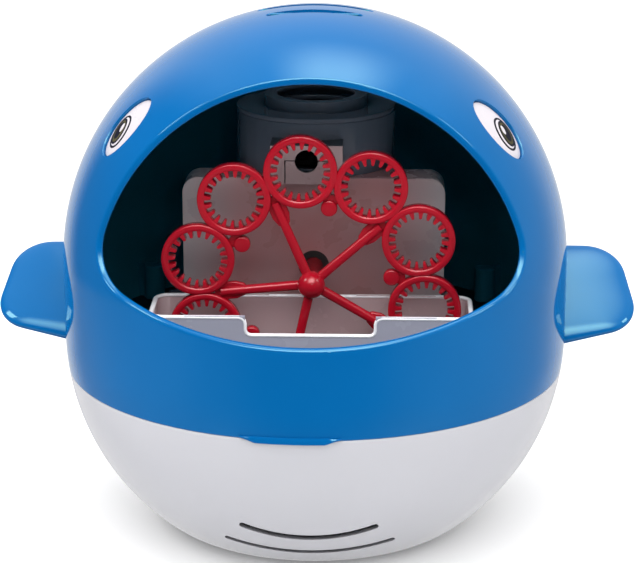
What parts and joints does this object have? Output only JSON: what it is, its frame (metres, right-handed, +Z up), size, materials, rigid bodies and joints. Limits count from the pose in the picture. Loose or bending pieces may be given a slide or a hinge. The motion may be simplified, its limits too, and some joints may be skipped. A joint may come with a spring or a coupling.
{
  "type": "bubble machine",
  "caption": "Round battery bubble machine shaped like a whale, with a wheel of wand rings turning in its open mouth over a solution tray, a fan and a nozzle.",
  "frame": {"origin": "centre of the flat base, on the surface it stands on", "axes": "+Z up, -Y towards the open mouth (front), +X towards the object's left fin, which is on the right as seen from the front"},
  "size_m": [0.2124, 0.1841, 0.1715],
  "materials": {
    "casing_blue": "glossy",
    "belly_white": "glossy",
    "eye_white": "glossy",
    "tray_white": "satin",
    "wheel_red": "glossy",
    "gearbox_clear": "satin",
    "blower_grey": "satin",
    "deck_navy": "matt",
    "gear_white": "matt",
    "black_plastic": "matt",
    "cell_wrap": "glossy",
    "motor_can": "satin",
    "steel": "satin",
    "lead_red": "satin",
    "lead_black": "satin"
  },
  "bodies": {
    "casing": {"upper_casing": "casing_blue", "lower_casing": "belly_white", "eye_left": "eye_white", "eye_right": "eye_white", "fin_left_upper": "casing_blue", "fin_left_lower": "casing_blue", "fin_right_upper": "casing_blue", "fin_right_lower": "casing_blue", "tail_upper": "casing_blue", "tail_lower": "casing_blue", "deck": "deck_navy", "solution_tray": "tray_white", "wheel_motor": "motor_can", "gear_pins": "steel", "shaft_bush": "black_plastic", "gearbox_front": "gearbox_clear", "gearbox_rear": "gearbox_clear", "blower_housing": "blower_grey", "blower_cover": "blower_grey", "fan_motor": "motor_can", "nozzle_block": "gearbox_clear", "nozzle_insert": "gearbox_clear", "switch_body": "black_plastic", "battery_box": "black_plastic", "battery_cells": "cell_wrap", "contact_springs": "steel", "contact_plates": "steel", "casing_screws": "steel", "deck_screws": "steel", "gearbox_screws": "steel", "mount_screws": "steel", "lead_battery_switch": "lead_red", "lead_switch_motor": "lead_red", "lead_battery_return": "lead_black", "lead_motor_link": "lead_black"},
    "wheel": {"wand_wheel": "wheel_red", "wheel_shaft": "steel", "output_gear": "gear_white"},
    "gear_two": {"second_gear": "gear_white"},
    "gear_one": {"first_gear": "gear_white"},
    "pinion": {"motor_pinion": "gear_white", "wheel_motor_shaft": "steel"},
    "fan": {"impeller": "gear_white", "fan_motor_shaft": "steel"},
    "switch": {"switch_knob": "black_plastic"},
    "door": {"battery_door": "belly_white", "battery_door_screw": "steel"}
  },
  "joints": [
    {"name": "wheel_spin", "type": "hinge", "parent": "casing", "child": "wheel", "pos_m": [0, -0.037, 0.09], "axis": [0, 1, 0], "continuous": true},
    {"name": "second_gear_spin", "type": "hinge", "parent": "casing", "child": "gear_two", "pos_m": [-0.01106, -0.011, 0.08226], "axis": [0, 1, 0], "continuous": true},
    {"name": "first_gear_spin", "type": "hinge", "parent": "casing", "child": "gear_one", "pos_m": [-0.02337, -0.007, 0.08009], "axis": [0, 1, 0], "continuous": true},
    {"name": "pinion_spin", "type": "hinge", "parent": "casing", "child": "pinion", "pos_m": [-0.02887, -0.006, 0.07056], "axis": [0, 1, 0], "continuous": true},
    {"name": "fan_spin", "type": "hinge", "parent": "casing", "child": "fan", "pos_m": [0, 0.01, 0.128], "axis": [0, 0, 1], "continuous": true},
    {"name": "switch_slide", "type": "slide", "parent": "casing", "child": "switch", "axis": [1, 0, 0], "range_m": [0, 0.004]},
    {"name": "door_hinge", "type": "hinge", "parent": "casing", "child": "door", "pos_m": [0, -0.0275, 0], "axis": [-1, 0, 0], "range_deg": [0, 60]}
  ],
  "couplings": [
    {"joint": "second_gear_spin", "follows": "wheel_spin", "ratio": -4.4},
    {"joint": "first_gear_spin", "follows": "wheel_spin", "ratio": 17.6},
    {"joint": "pinion_spin", "follows": "wheel_spin", "ratio": -79.2}
  ]
}
